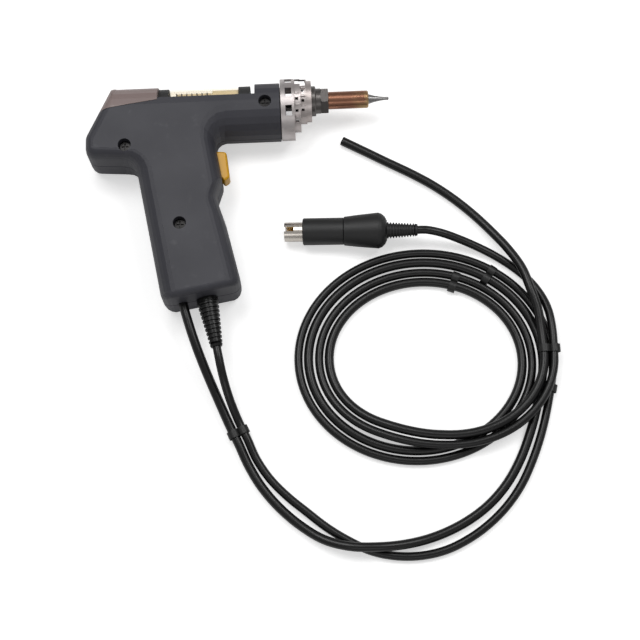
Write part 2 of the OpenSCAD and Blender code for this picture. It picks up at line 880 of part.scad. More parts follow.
nozzle_r = 3.5;
nozzle_tip_r = 1.1;
nozzle_throat = 4;
module nozzle() {
    color([0.5, 0.5, 0.5]) laid() turned_x([
        [pipe_bore_r, sleeve_end - shank_len], [core_r, sleeve_end - shank_len],
        [core_r, sleeve_end - fit], [nozzle_r, sleeve_end],
        [0.66 * nozzle_r, sleeve_end + 0.27 * nozzle_len],
        [0.43 * nozzle_r, sleeve_end + 0.56 * nozzle_len],
        [nozzle_tip_r, sleeve_end + 0.8 * nozzle_len],
        [nozzle_tip_r, nozzle_end - nozzle_tip_r / 4],
        [0.8 * nozzle_tip_r, nozzle_end], [nozzle_bore_r, nozzle_end],
        [nozzle_bore_r, nozzle_end - nozzle_throat],
        [pipe_bore_r, sleeve_end - over]
    ]);
}

// Trigger: a rounded paddle on a tail with a flange behind the grip's wall
module trigger() {
    profile = [
        [-flange_back, -tail_share[0] * trigger_h, end_r],
        [-fit, -tail_share[0] * trigger_h, end_r],
        [0.2 * trigger_out, -nose_share * trigger_h, edge_r],
        [0.82 * trigger_out, -0.48 * trigger_h, 2 * edge_r],
        [trigger_out, 0.42 * trigger_h, 2 * edge_r],
        [-0.1 * trigger_out, crest_share * trigger_h, edge_r],
        [-flange_back, tail_share[1] * trigger_h, end_r]
    ];
    drawn = [0, edge_r / 2, edge_r, edge_r, edge_r, edge_r / 2, 0];
    flush = level(profile, 0);
    t = trigger_t / 2;
    color([0.86, 0.66, 0.12]) laid() at_edge(front_edge, trigger_share) {
        lofted([
            ring(profile, drawn, level(profile, -t)),
            ring(profile, 0.3 * drawn, level(profile, edge_r / 2 - t)),
            ring(profile, flush, level(profile, edge_r - t)),
            ring(profile, flush, level(profile, t - edge_r)),
            ring(profile, 0.3 * drawn, level(profile, t - edge_r / 2)),
            ring(profile, drawn, level(profile, t))
        ]);
        translate([-flange_back, -tail_share[0] * trigger_h, -flange_side])
            cube([flange_t, (tail_share[0] + tail_share[1]) * trigger_h, 2 * flange_side]);
        translate([0, spring_v, 0]) along_x(nub_r, -flange_back - nub_len, -flange_back);
    }
}

spring_curls = 5;
module trigger_spring() {
    color("silver") laid() at_edge(front_edge, trigger_share)
        translate([0, spring_v, 0])
            spring(
                "trigger_spring", spring_r, spring_wire_r, -seat_x + fit, -flange_back - fit,
                spring_curls
            );
}

module switch_body() {
    color([0.15, 0.15, 0.16]) laid() at_edge(front_edge, trigger_share) difference() {
        translate([-switch_x - switch_size[0], switch_low, -switch_size[2] / 2])
            cube(switch_size);
        translate([0, plunger_v, 0])
            along_x(
                plunger_r + slide, -switch_x - plunger_in - trigger_travel - gap,
                -switch_x + over
            );
    }
}

module switch_plunger() {
    color([0.7, 0.15, 0.12]) laid() at_edge(front_edge, trigger_share)
        translate([0, plunger_v, 0])
            along_x(plunger_r, -switch_x - plunger_in, -flange_back - gap);
}

module strain_relief() {
    inner = -wall - relief_flange_t;
    end_len = relief_len - relief_root_len - relief_rim;
    color([0.1, 0.1, 0.1]) laid() at_edge(bottom_edge, relief_share) turned_x(concat(
        [
            [0, inner], [relief_flange_r, inner], [relief_flange_r, -wall],
            [relief_neck_r, -wall], [relief_neck_r, fit], [relief_root_r, fit],
            [relief_root_r, relief_root_len]
        ],
        ribbed(
            relief_root_r, cable_r + relief_rim, relief_root_len,
            relief_root_len + end_len, relief_ribs, rib_depth
        ),
        [
            [cable_r + relief_rim, relief_len - relief_rim],
            [cable_r + 0.6 * relief_rim, relief_len], [0, relief_len]
        ]
    ));
}

// Plug: it lies on the table, its shell facing the grip
plug_at = [27.9, -26.4];
plug_turn = -2.6;
shell_len = 12.5;
shell_wall = 0.7;
shell_seat = 5;
plug_step = 0.6;
cap_len = 23.7;
cap_round = 5.8;
plug_relief_len = 20.7;
plug_relief_ribs = 10;
plug_relief_r = 5.6;
cap_x = shell_len + plug_body_len;
cap_end = cap_x + cap_len + cap_round;
plug_tilt = asin((plug_cap_d - plug_d) / 2 / (plug_body_len - plug_step + cap_len));
plug_rise = plug_d / 2 * cos(plug_tilt) - (shell_len + plug_step) * sin(plug_tilt);
plug_color = [0.09, 0.09, 0.09];

// Plug frame: X from the shell's mouth towards the cable
module at_plug() {
    translate([plug_at[0], plug_at[1], plug_rise])
        rotate([0, -plug_tilt, plug_turn])
            children();
}

module plug_shell() {
    color([0.75, 0.74, 0.72]) at_plug() difference() {
        along_x(shell_d / 2, 0, shell_len + shell_seat);
        along_x(shell_d / 2 - shell_wall, -over, shell_len + shell_seat + over);
        translate([-over, -shell_d / 8, 0]) cube([0.6 * shell_len, shell_d / 4, shell_d]);
    }
}

module plug_insert() {
    pin_ring = 0.27 * shell_d;
    color(plug_color) at_plug() difference() {
        along_x(shell_d / 2 - shell_wall - fit, 0.5 * shell_len, shell_len + shell_seat);
        for (a = [-135, -90, -45, 45, 135])
            rotate([a, 0, 0])
                translate([0, 0, pin_ring])
                    along_x(pin_r + fit, 0, 0.5 * shell_len + 2 * pin_r);
    }
}

pin_r = 0.7;
module plug_pins() {
    pin_ring = 0.27 * shell_d;
    color([0.8, 0.7, 0.4]) at_plug()
        for (a = [-135, -90, -45, 45, 135])
            rotate([a, 0, 0])
                translate([0, 0, pin_ring])
                    along_x(pin_r, 0.12 * shell_len, 0.5 * shell_len + 2 * pin_r);
}

module plug_body() {
    r = plug_d / 2;
    color(plug_color) at_plug() difference() {
        turned_x([
            [0, shell_len], [r - plug_step, shell_len], [r, shell_len + plug_step], [r, cap_x],
            [0, cap_x]
        ]);
        along_x(shell_d / 2 + fit, shell_len - over, shell_len + shell_seat + fit);
    }
}

module plug_cap() {
    r0 = plug_d / 2;
    r1 = plug_cap_d / 2;
    color(plug_color) at_plug() turned_x([
        [0, cap_x], [r0 - plug_step, cap_x], [r0 + plug_step, cap_x + plug_step],
        [r0 + 0.55 * (r1 - r0), cap_x + 0.4 * cap_len], [r1, cap_x + cap_len],
        [0.93 * r1, cap_x + cap_len + 0.4 * cap_round],
        [0.76 * r1, cap_x + cap_len + 0.78 * cap_round],
        [0.55 * r1, cap_end], [0, cap_end]
    ]);
}

module plug_relief() {
    color(plug_color) at_plug() turned_x(concat(
        [[0, cap_end]],
        ribbed(
            plug_relief_r, cable_r + relief_rim, cap_end, cap_end + plug_relief_len - relief_rim,
            plug_relief_ribs, rib_depth
        ),
        [
            [cable_r + relief_rim, cap_end + plug_relief_len - relief_rim],
            [cable_r + 0.6 * relief_rim, cap_end + plug_relief_len],
            [0, cap_end + plug_relief_len]
        ]
    ));
}

// Hose and cable: leads from the grip down to the table, two loops, and tails
bed = 0.05; // air under a cord on the table
hose_lead_route = [
    [-35.5, -98, 19.6], [-31, -112, 16.8], [-25.5, -127, 12], [-19.5, -142, 7.4],
    [-13, -158, 4.6], [-8, -169, 4.4], [-2, -183.5, 3.4], [6, -198, 3.2], [17, -212, 3.2],
    [30.5, -224.5, 3.4], [45.5, -234.5, 5.4], [62, -239.8, 9], [79, -241, 9.2],
    [96, -240, 6.4], [112, -237, 3.8], [127, -232, 3.2], [141.5, -224.8, 3.2],
    [154.5, -215.5, 3.2], [166, -203.5, 3.2], [175.5, -189, 3.2], [183, -173, 3.2],
    [188.8, -157, 3.2]
];
cable_lead_route = [
    [-16.2, -126, 18.4], [-12.5, -140.5, 10.8], [-7, -155.5, 5], [-2, -166.5, 4.6],
    [3.5, -180, 3.2], [12, -193.5, 2.9], [23, -205.5, 2.9], [35, -216, 2.9],
    [47.5, -226.5, 2.9], [61, -235.5, 2.9], [76, -243, 2.9], [92, -246.8, 2.9],
    [108, -247.2, 2.9], [124, -244.2, 2.9], [139, -237.7, 2.9], [152.5, -229, 2.9],
    [165, -217.8, 2.9], [175.5, -204.5, 2.9], [184, -189, 2.9], [191, -172.5, 2.9],
    [196.2, -156.5, 2.9]
];
hose_tail_route = [
    [195.8, -101, 11], [194.4, -87.5, 12], [190.6, -73.5, 12.6], [186.6, -59.5, 11],
    [179, -45, 8], [169.5, -31.5, 5], [158, -18, 3.5], [145, -5.6, 3.2], [131, 5.3, 3.2],
    [116.5, 14.5, 3.2], [100.5, 23.5, 3.2]
];
cable_tail_route = [
    [203.4, -101, 10.2], [202, -87.5, 8], [197.5, -75, 5], [190.5, -64.5, 3],
    [181.5, -56, 2.9], [170.5, -48, 3.2], [158.5, -41.5, 5], [146, -36.5, 8.6],
    [134, -32.8, 12.4]
];
tip_at = [70.3, 40.7];
tip_turn = 150.6;
tip_len = 12;

// The ring of loops: an ellipse that winds inwards, climbs and crosses back over itself
loop_centre = [115, -118.4];
loop_radii = [88.2, 78];
loop_pitch = 13.8; // inward step of the pair in one loop
lane = 6.7; // step from the cable to the hose beside it
loop_rise = 7.8; // height of the upper layer over the lower
loop_start = -15;
loop_count = 2;
loop_rings = 24;
climb = [540, 640]; // angles between which the pair climbs to the upper layer
cross_over = [600, 720]; // angles between which it crosses out over the loops below
wound_until = 640;
cross_back = loop_pitch * wound_until / 360;

function eased(x) = let (u = max(0, min(1, x))) u * u * (3 - 2 * u);
function share_of(span, a) = (a - span[0]) / (span[1] - span[0]);
function loop_point(a, inner, r) =
    let (
        in = inner + loop_pitch * min(a, wound_until) / 360
            - cross_back * eased(share_of(cross_over, a))
    )
    [
        loop_centre[0] + (loop_radii[0] - in) * cos(a),
        loop_centre[1] + (loop_radii[1] - in) * sin(a),
        r + bed + loop_rise * eased(share_of(climb, a))
    ];
loop_steps = loop_count * loop_rings + 1;
loop_stride = 360 / loop_rings;
function loop_path(inner, r) = [
    for (k = [0 : loop_steps]) loop_point(loop_start + k * loop_stride, inner, r)
];
hose_loops = loop_path(lane, hose_r);
cable_loops = loop_path(0, cable_r);

// Direction in which a path enters its first point and leaves its last
function entry(path) = unit(path[1] - path[0]);
function leaving(path) = unit(path[len(path) - 1] - path[len(path) - 2]);
// A path with a straight run of length d at both ends, square to what it meets
function with_ends(a, run_a, route, b, run_b, d) =
    concat([a, a + d * run_a], route, [b - d * run_b, b]);

hose_from = [
    elbow_x - mid_x + (hose_reach + hose_stub) * sin(hose_lean),
    -mid_y - (hose_reach + hose_stub) * cos(hose_lean), lift
];
hose_from_run = [sin(hose_lean), -cos(hose_lean), 0];
relief_out = unit([toe[1] - butt[1], butt[0] - toe[0]]);
relief_end = butt + relief_share * (toe - butt) + relief_len * relief_out;
cable_from = [relief_end[0] - mid_x, relief_end[1] - mid_y, lift];
cable_from_run = [relief_out[0], relief_out[1], 0];
tip_run = [cos(tip_turn), sin(tip_turn), 0];
tip_end = [tip_at[0], tip_at[1], hose_r + bed];
plug_run = [
    cos(plug_tilt) * cos(plug_turn), cos(plug_tilt) * sin(plug_turn), sin(plug_tilt)
];
plug_end = [plug_at[0], plug_at[1], plug_rise] + (cap_end + plug_relief_len) * plug_run;

hose_lead_path = with_ends(
    hose_from, hose_from_run, hose_lead_route, hose_loops[0], entry(hose_loops), hose_d
);
cable_lead_path = with_ends(
    cable_from, cable_from_run, cable_lead_route, cable_loops[0], entry(cable_loops), cable_d
);
hose_tail_path = with_ends(
    hose_loops[loop_steps], leaving(hose_loops), hose_tail_route,
    tip_end - tip_len * tip_run, tip_run, hose_d
);
cable_tail_path = with_ends(
    cable_loops[loop_steps], leaving(cable_loops), cable_tail_route, plug_end, -plug_run, cable_d
);
echo(str("hose_coil: least gap to itself ", least_gap(hose_loops, loop_rings / 2) - hose_d));
echo(str("cable_coil: least gap to itself ", least_gap(cable_loops, loop_rings / 2) - cable_d));
lead_sides = 8;
cord_color = [0.12, 0.12, 0.12];

module hose_lead() { color(cord_color) tube(hose_lead_path, hose_r, lead_sides); }
module hose_coil() { color(cord_color) tube(hose_loops, hose_r, wire_sides); }
module hose_tail() { color(cord_color) tube(hose_tail_path, hose_r, lead_sides); }
module cable_lead() { color(cord_color) tube(cable_lead_path, cable_r, lead_sides); }
module cable_coil() { color(cord_color) tube(cable_loops, cable_r, wire_sides); }
module cable_tail() { color(cord_color) tube(cable_tail_path, cable_r, lead_sides); }

module hose_tip() {
    color(cord_color) translate(tip_end) rotate([0, 0, tip_turn]) difference() {
        along_x(hose_r, -tip_len, 0);
        along_x(hose_bore_d / 2, -tip_len - over, over);
    }
}

// Clips that hold the cable beside the hose
clip_len = 5;
clip_wall = 0.6;
clip_fit = 0.5;
first_clip = 4; // ring of the inner loop, and the ring after it on the next loop
function middle(path, k) = (path[k] + path[k + 1]) / 2;
clip_places = [
    [middle(hose_lead_route, 4), middle(cable_lead_route, 2)],
    [middle(hose_loops, first_clip), middle(cable_loops, first_clip)],
    [
        middle(hose_loops, loop_rings + first_clip + 1),
        middle(cable_loops, loop_rings + first_clip + 1)
    ],
    [
        hose_loops[0] - clip_len / 2 * entry(hose_loops),
        cable_loops[0] - clip_len / 2 * entry(cable_loops)
    ],
    [
        hose_loops[loop_steps] + clip_len / 2 * leaving(hose_loops),
        cable_loops[loop_steps] + clip_len / 2 * leaving(cable_loops)
    ]
];

module clip_bar(r, place, len) {
    translate(place) rotate([90, 0, 0]) cylinder(h = len, r = r, center = true);
}

module cord_clips() {
    color([0.07, 0.07, 0.07]) for (p = clip_places) {
        d = p[1] - p[0];
        beside = [norm(flat(d)), 0, d[2]];
        translate(p[0]) rotate([0, 0, atan2(d[1], d[0])]) difference() {
            union() {
                clip_bar(hose_r + clip_fit + clip_wall, [0, 0, 0], clip_len);
                clip_bar(cable_r + clip_fit + clip_wall, beside, clip_len);
            }
            clip_bar(hose_r + clip_fit, [0, 0, 0], clip_len + over);
            clip_bar(cable_r + clip_fit, beside, clip_len + over);
            translate([-2 * hose_d, -clip_len, bed - hose_d - p[0][2]])
                cube([4 * hose_d, 2 * clip_len, hose_d]);
        }
    }
}

housing_right();
housing_left();
rear_cap();
rear_seal();
suction_pipe();
latch_spring();
glass_tube();
cotton_filter();
filter_core();
baffle_spring();
front_seal();
hot_pipe();
heat_guard();
guard_insulator();
guard_screws();
heater_collar();
union_nut();
heater_sleeve();
heater_core();
nozzle();
trigger();
trigger_spring();
switch_body();
switch_plunger();
housing_screws();
vacuum_elbow();
inner_hose();
strain_relief();
hose_lead();
hose_coil();
hose_tail();
hose_tip();
cable_lead();
cable_coil();
cable_tail();
cord_clips();
plug_shell();
plug_insert();
plug_pins();
plug_body();
plug_cap();
plug_relief();
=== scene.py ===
import json
import math
import bpy
from mathutils import Matrix, Vector


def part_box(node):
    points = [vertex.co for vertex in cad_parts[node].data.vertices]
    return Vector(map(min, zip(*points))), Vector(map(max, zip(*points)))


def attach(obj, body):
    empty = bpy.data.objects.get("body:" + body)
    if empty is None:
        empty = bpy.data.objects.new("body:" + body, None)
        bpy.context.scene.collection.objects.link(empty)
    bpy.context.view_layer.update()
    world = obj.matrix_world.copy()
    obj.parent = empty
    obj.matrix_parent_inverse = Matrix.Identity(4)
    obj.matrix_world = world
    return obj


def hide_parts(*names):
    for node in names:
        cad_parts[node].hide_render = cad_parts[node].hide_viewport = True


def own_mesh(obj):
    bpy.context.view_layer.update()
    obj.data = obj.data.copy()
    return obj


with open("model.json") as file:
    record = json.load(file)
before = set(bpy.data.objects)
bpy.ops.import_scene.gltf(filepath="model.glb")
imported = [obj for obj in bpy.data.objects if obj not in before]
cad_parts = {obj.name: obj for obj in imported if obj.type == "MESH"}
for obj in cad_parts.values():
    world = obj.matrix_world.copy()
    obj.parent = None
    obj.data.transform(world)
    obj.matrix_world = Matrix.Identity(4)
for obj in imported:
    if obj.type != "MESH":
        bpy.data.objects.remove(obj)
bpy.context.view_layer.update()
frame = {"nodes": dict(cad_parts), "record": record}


# Selection, and small sums that several pieces share
def deselectAll():
    if bpy.context.object and bpy.context.object.mode != "OBJECT":
        bpy.ops.object.mode_set(mode="OBJECT")
    bpy.ops.object.select_all(action="DESELECT")


def srgb(red, green, blue):
    # a colour as a picture shows it, 0 to 255, as the shader wants it
    linear = []
    for value in (red, green, blue):
        share = value / 255
        linear.append(share / 12.92 if share <= 0.04045 else ((share + 0.055) / 1.055) ** 2.4)
    return (*linear, 1.0)


deselectAll()
print("camera")

cameraView = {
    "place": (0.0391, -0.3197, 0.8693),
    "aim": (0.0493, -0.0870, 0.0),
    "right": (0.999, -0.0436, 0.0),
    "lens": 75,
    "sensor": 36,
    "nearest": 0.01,
    "farthest": 20,
}


def makeCamera(values):
    data = bpy.data.cameras.new("camera")
    data.lens = values["lens"]
    data.sensor_width = values["sensor"]
    data.clip_start = values["nearest"]
    data.clip_end = values["farthest"]
    camera = bpy.data.objects.new("camera", data)
    bpy.context.scene.collection.objects.link(camera)
    back = (Vector(values["place"]) - Vector(values["aim"])).normalized()
    right = Vector(values["right"])
    right = (right - back * right.dot(back)).normalized()
    turn = Matrix((right, back.cross(right), back)).transposed()
    camera.matrix_world = Matrix.Translation(values["place"]) @ turn.to_4x4()
    bpy.context.scene.camera = camera


makeCamera(cameraView)
print("hose and cable")

# The routes are the part's own, in metres
hoseLeadRoute = [
    (-0.0355, -0.098, 0.0196), (-0.031, -0.112, 0.0168), (-0.0255, -0.127, 0.012),
    (-0.0195, -0.142, 0.0074), (-0.013, -0.158, 0.0046), (-0.008, -0.169, 0.0044),
    (-0.002, -0.1835, 0.0034), (0.006, -0.198, 0.0032), (0.017, -0.212, 0.0032),
    (0.0305, -0.2245, 0.0034), (0.0455, -0.2345, 0.0054), (0.062, -0.2398, 0.009),
    (0.079, -0.241, 0.0092), (0.096, -0.24, 0.0064), (0.112, -0.237, 0.0038),
    (0.127, -0.232, 0.0032), (0.1415, -0.2248, 0.0032), (0.1545, -0.2155, 0.0032),
    (0.166, -0.2035, 0.0032), (0.1755, -0.189, 0.0032), (0.183, -0.173, 0.0032),
    (0.1888, -0.157, 0.0032),
]
cableLeadRoute = [
    (-0.0162, -0.126, 0.0184), (-0.0125, -0.1405, 0.0108), (-0.007, -0.1555, 0.005),
    (-0.002, -0.1665, 0.0046), (0.0035, -0.18, 0.0032), (0.012, -0.1935, 0.0029),
    (0.023, -0.2055, 0.0029), (0.035, -0.216, 0.0029), (0.0475, -0.2265, 0.0029),
    (0.061, -0.2355, 0.0029), (0.076, -0.243, 0.0029), (0.092, -0.2468, 0.0029),
    (0.108, -0.2472, 0.0029), (0.124, -0.2442, 0.0029), (0.139, -0.2377, 0.0029),
    (0.1525, -0.229, 0.0029), (0.165, -0.2178, 0.0029), (0.1755, -0.2045, 0.0029),
    (0.184, -0.189, 0.0029), (0.191, -0.1725, 0.0029), (0.1962, -0.1565, 0.0029),
]
hoseTailRoute = [
    (0.1958, -0.101, 0.011), (0.1944, -0.0875, 0.012), (0.1906, -0.0735, 0.0126),
    (0.1866, -0.0595, 0.011), (0.179, -0.045, 0.008), (0.1695, -0.0315, 0.005),
    (0.158, -0.018, 0.0035), (0.145, -0.0056, 0.0032), (0.131, 0.0053, 0.0032),
    (0.1165, 0.0145, 0.0032), (0.1005, 0.0235, 0.0032),
]
cableTailRoute = [
    (0.2034, -0.101, 0.0102), (0.202, -0.0875, 0.008), (0.1975, -0.075, 0.005),
    (0.1905, -0.0645, 0.003), (0.1815, -0.056, 0.0029), (0.1705, -0.048, 0.0032),
    (0.1585, -0.0415, 0.005), (0.146, -0.0365, 0.0086), (0.134, -0.0328, 0.0124),
]
# Lengths in metres and angles in degrees
ringOfLoops = {
    "centre": (0.115, -0.1184),
    "radii": (0.0882, 0.078),
    "pitch": 0.0138,  # inwards, for each turn
    "rise": 0.0078,  # of the end, over the turns below it
    "start": -15,
    "end": 720,
    "climb": (540, 640),
    "crossOver": (600, 720),
    "windsUntil": 640,
    "step": 5,
    "bed": 0.00005,  # clear of the floor
}
hoseValues = {
    "radius": 0.0031,
    "lane": 0.0067,  # inside the cable's loops
    "exit": (-0.04082, -0.07781, 0.021),
    "run": (0.23005, -0.97318, 0.0),  # the way it leaves the grip
    "far": (0.08075, 0.03481, 0.00315),
    "farRun": (-0.87121, 0.49090, 0.0),
}
cableValues = {
    "radius": 0.0028,
    "lane": 0.0,
    "exit": (-0.01936, -0.10787, 0.021),
    "run": (0.16594, -0.98614, 0.0),
    "far": (0.11785, -0.03048, 0.01375),
    "farRun": (-0.99721, 0.04528, -0.05929),
}
tubeValues = {"spacing": 0.003, "roundness": 5}


def eased(share):
    share = max(0.0, min(1.0, share))
    return share * share * (3 - 2 * share)


def shareOf(span, angle):
    return (angle - span[0]) / (span[1] - span[0])


def loopPoints(ring, cord):
    # the same ellipse as in the part, in finer steps
    points = []
    back = ring["pitch"] * ring["windsUntil"] / 360
    for angle in range(ring["start"], ring["end"] + 1, ring["step"]):
        inset = cord["lane"] + ring["pitch"] * min(angle, ring["windsUntil"]) / 360
        inset -= back * eased(shareOf(ring["crossOver"], angle))
        turn = math.radians(angle)
        points.append(Vector((
            ring["centre"][0] + (ring["radii"][0] - inset) * math.cos(turn),
            ring["centre"][1] + (ring["radii"][1] - inset) * math.sin(turn),
            cord["radius"] + ring["bed"] + ring["rise"] * eased(shareOf(ring["climb"], angle)),
        )))
    return points


def cordPoints(cord, lead, tail):
    # straight for one diameter at either end
    straight = 2 * cord["radius"]
    exit, far = Vector(cord["exit"]), Vector(cord["far"])
    loops = loopPoints(ringOfLoops, cord)
    return (
        [exit, exit + straight * Vector(cord["run"])]
        + [Vector(p) for p in lead] + loops + [Vector(p) for p in tail]
        + [far - straight * Vector(cord["farRun"]), far]
    )


def between(p, q, start, end, at):
    return p.lerp(q, (at - start) / (end - start))


def smoothPath(points, spacing):
    # a curve through all the points that keeps its bends even where they lie unevenly
    ends = [points[0] * 2 - points[1], *points, points[-1] * 2 - points[-2]]
    path = []
    for a, b, c, d in zip(ends, ends[1:], ends[2:], ends[3:]):
        times = [0.0]
        for p, q in ((a, b), (b, c), (c, d)):
            times.append(times[-1] + math.sqrt((q - p).length))
        steps = max(1, round((c - b).length / spacing))
        for step in range(steps):
            at = times[1] + (times[2] - times[1]) * step / steps
            first = between(a, b, times[0], times[1], at)
            second = between(b, c, times[1], times[2], at)
            third = between(c, d, times[2], times[3], at)
            left = between(first, second, times[0], times[2], at)
            right = between(second, third, times[1], times[3], at)
            path.append(between(left, right, times[1], times[2], at))
    path.append(points[-1])
    return path


def pathLength(path):
    return sum((b - a).length for a, b in zip(path, path[1:]))


def makeCord(name, cord, lead, tail):
    path = smoothPath(cordPoints(cord, lead, tail), tubeValues["spacing"])
    data = bpy.data.curves.new(name, "CURVE")
    data.dimensions = "3D"
    data.bevel_depth = cord["radius"]
    data.bevel_resolution = tubeValues["roundness"]
    data.use_fill_caps = True
    spline = data.splines.new("POLY")
    spline.points.add(len(path) - 1)
    for point, place in zip(spline.points, path):
        point.co = (*place, 1)
    spline.use_smooth = True
    curve = bpy.data.objects.new(name, data)
    bpy.context.scene.collection.objects.link(curve)
    deselectAll()
    curve.select_set(True)
    bpy.context.view_layer.objects.active = curve
    bpy.ops.object.convert(target="MESH")
    bpy.ops.object.shade_smooth()
    print(name, "is", round(pathLength(path), 4), "m long")
    return bpy.context.object, path


hose, hosePath = makeCord("vacuumHose", hoseValues, hoseLeadRoute, hoseTailRoute)
cable, cablePath = makeCord("electricCable", cableValues, cableLeadRoute, cableTailRoute)
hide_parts("hose_lead", "hose_coil", "hose_tail")
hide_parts("cable_lead", "cable_coil", "cable_tail")
for cordPiece in (hose, cable):
    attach(cordPiece, "iron")
pathLength(hosePath)
pathLength(cablePath)

print("materials")

colourSockets = {"first": 6, "second": 7, "result": 2}  # a Mix node has one set for each data type


class Wire:
    # a node's output, on which sums are written as plain expressions
    def __init__(self, tree, socket=None):
        self.tree = tree
        self.socket = socket

    def node(self, kind, settings=None, values=None, output=0):
        made = self.tree.nodes.new(kind)
        for name, value in (settings or {}).items():
            setattr(made, name, value)
        for name, value in (values or {}).items():
            if isinstance(value, Wire):
                self.tree.links.new(value.socket, made.inputs[name])
            else:
                made.inputs[name].default_value = value
        return Wire(self.tree, made.outputs[output])

    def sum(self, operation, first, second):
        return self.node("ShaderNodeMath", {"operation": operation}, {0: first, 1: second})

    def __add__(self, other):
        return self.sum("ADD", self, other)

    def __radd__(self, other):
        return self.sum("ADD", other, self)

    def __sub__(self, other):
        return self.sum("SUBTRACT", self, other)

    def __rsub__(self, other):
        return self.sum("SUBTRACT", other, self)

    def __mul__(self, other):
        return self.sum("MULTIPLY", self, other)

    def __rmul__(self, other):
        return self.sum("MULTIPLY", other, self)

    def limited(self):
        return self.node("ShaderNodeClamp", {}, {"Value": self})

    def sway(self, amount):
        # a noise's swing about its middle, as a change either way
        return (self - 0.5) * amount

    def over(self, low, high):
        # 0 below low and 1 above high, with a soft step between them
        return self.node(
            "ShaderNodeMapRange", {"interpolation_type": "SMOOTHSTEP"},
            {"Value": self, "From Min": low, "From Max": high},
        )

    def noise(self, scale, detail, stretch=(1, 1, 1)):
        place = self.node("ShaderNodeTexCoord", output="Object")
        place = self.node("ShaderNodeMapping", {}, {"Vector": place, "Scale": stretch})
        return self.node(
            "ShaderNodeTexNoise", {}, {"Vector": place, "Scale": scale, "Detail": detail}
        )

    def place(self, axis):
        # the X, Y or Z of the shaded point, in metres
        whole = self.node("ShaderNodeTexCoord", output="Object")
        return self.node("ShaderNodeSeparateXYZ", {}, {"Vector": whole}, output=axis)

    def blend(self, share, first, second):
        return self.node(
            "ShaderNodeMix", {"data_type": "RGBA"},
            {0: share, colourSockets["first"]: first, colourSockets["second"]: second},
            output=colourSockets["result"],
        )

    def relief(self, strength, depth):
        # itself as the height of a surface, depth in metres
        return self.node("ShaderNodeBump", {}, {
            "Strength": strength, "Distance": depth, "Height": self,
        })


def startMaterial(name, fixed):
    material = bpy.data.materials.new(name)
    material.use_nodes = True
    tree = material.node_tree
    shader = tree.nodes["Principled BSDF"]
    for socket, value in fixed.items():
        shader.inputs[socket].default_value = value
    return material, Wire(tree), shader


def feed(wire, shader, **values):
    names = {"colour": "Base Color", "roughness": "Roughness", "normal": "Normal"}
    for name, value in values.items():
        wire.tree.links.new(value.socket, shader.inputs[names[name]])


# What the plastics have in common, where a look gives nothing else
plasticValues = {
    "specular": 0.5, "driftScale": 30, "driftDetail": 3, "driftRoughness": 0.12,
    "grainDetail": 2, "grainStrength": 0.35, "rubScale": 160, "rubDetail": 5,
    "rubSpan": (0.6, 0.78), "rub": 0.12, "rubRoughness": 0.08,
}


def mouldedPlastic(name, look):
    # fine moulded grain, a slow drift of tone, and a few paler rubbed spots
    values = {**plasticValues, **look}
    material, wire, shader = startMaterial(name, {"Specular IOR Level": values["specular"]})
    drift = wire.noise(values["driftScale"], values["driftDetail"])
    grain = wire.noise(values["grainScale"], values["grainDetail"])
    rubbed = wire.noise(values["rubScale"], values["rubDetail"]).over(*values["rubSpan"])
    tone = wire.blend(drift, values["colour"], values["shade"])
    roughness = values["roughness"] + drift.sway(values["driftRoughness"])
    feed(
        wire, shader,
        colour=wire.blend(rubbed * values["rub"], tone, values["worn"]),
        roughness=(roughness - rubbed * values["rubRoughness"]).limited(),
        normal=grain.relief(values["grainStrength"], values["grainDepth"]),
    )
    return material


# What the turned metals have in common
turnedValues = {
    "ringDetail": 3, "ringStretch": (1, 0.03, 0.03), "ringStrength": 0.3, "ringRoughness": 0.12,
    "filmScale": 120, "filmDetail": 4, "filmRoughness": 0.2,
}


def turnedMetal(name, look):
    # rings left by turning round X, with a cloudy film over them
    values = {**turnedValues, **look}
    material, wire, shader = startMaterial(name, {"Metallic": 1.0})
    rings = wire.noise(values["ringScale"], values["ringDetail"], values["ringStretch"])
    film = wire.noise(values["filmScale"], values["filmDetail"])
    roughness = values["roughness"] + film.sway(values["filmRoughness"])
    feed(
        wire, shader,
        colour=wire.blend(film, values["colour"], values["shade"]),
        roughness=(roughness + rings.sway(values["ringRoughness"])).limited(),
        normal=rings.relief(values["ringStrength"], values["ringDepth"]),
    )
    return material


housingLook = {
    "colour": srgb(60, 60, 67), "shade": srgb(50, 50, 56), "worn": srgb(80, 80, 88),
    "grainScale": 2600, "grainDepth": 0.00006, "grainStrength": 0.3, "roughness": 0.52,
    "specular": 0.4,
}
rearCapLook = {
    "colour": srgb(140, 123, 120), "shade": srgb(130, 114, 111), "worn": srgb(158, 143, 139),
    "grainScale": 2600, "grainDepth": 0.00005, "roughness": 0.42,
}
sealLook = {
    "colour": srgb(38, 38, 38), "shade": srgb(30, 30, 31), "worn": srgb(60, 60, 60),
    "grainScale": 1600, "grainDepth": 0.00004, "roughness": 0.55,
}
cordLook = {
    "colour": srgb(8, 8, 9), "shade": srgb(4, 4, 4), "worn": srgb(20, 19, 19),
    "grainScale": 1400, "grainDepth": 0.00004, "roughness": 0.32, "specular": 0.4,
}
clipLook = {
    "colour": srgb(11, 11, 11), "shade": srgb(8, 8, 8), "worn": srgb(24, 24, 24),
    "grainScale": 1800, "grainDepth": 0.00004, "roughness": 0.45,
}
plugLook = {
    "colour": srgb(19, 19, 20), "shade": srgb(13, 13, 14), "worn": srgb(38, 38, 39),
    "grainScale": 3000, "grainDepth": 0.00006, "roughness": 0.5,
}
triggerLook = {
    "colour": srgb(224, 168, 14), "shade": srgb(208, 150, 8), "worn": srgb(230, 186, 60),
    "grainScale": 1800, "grainDepth": 0.00003, "roughness": 0.38,
}
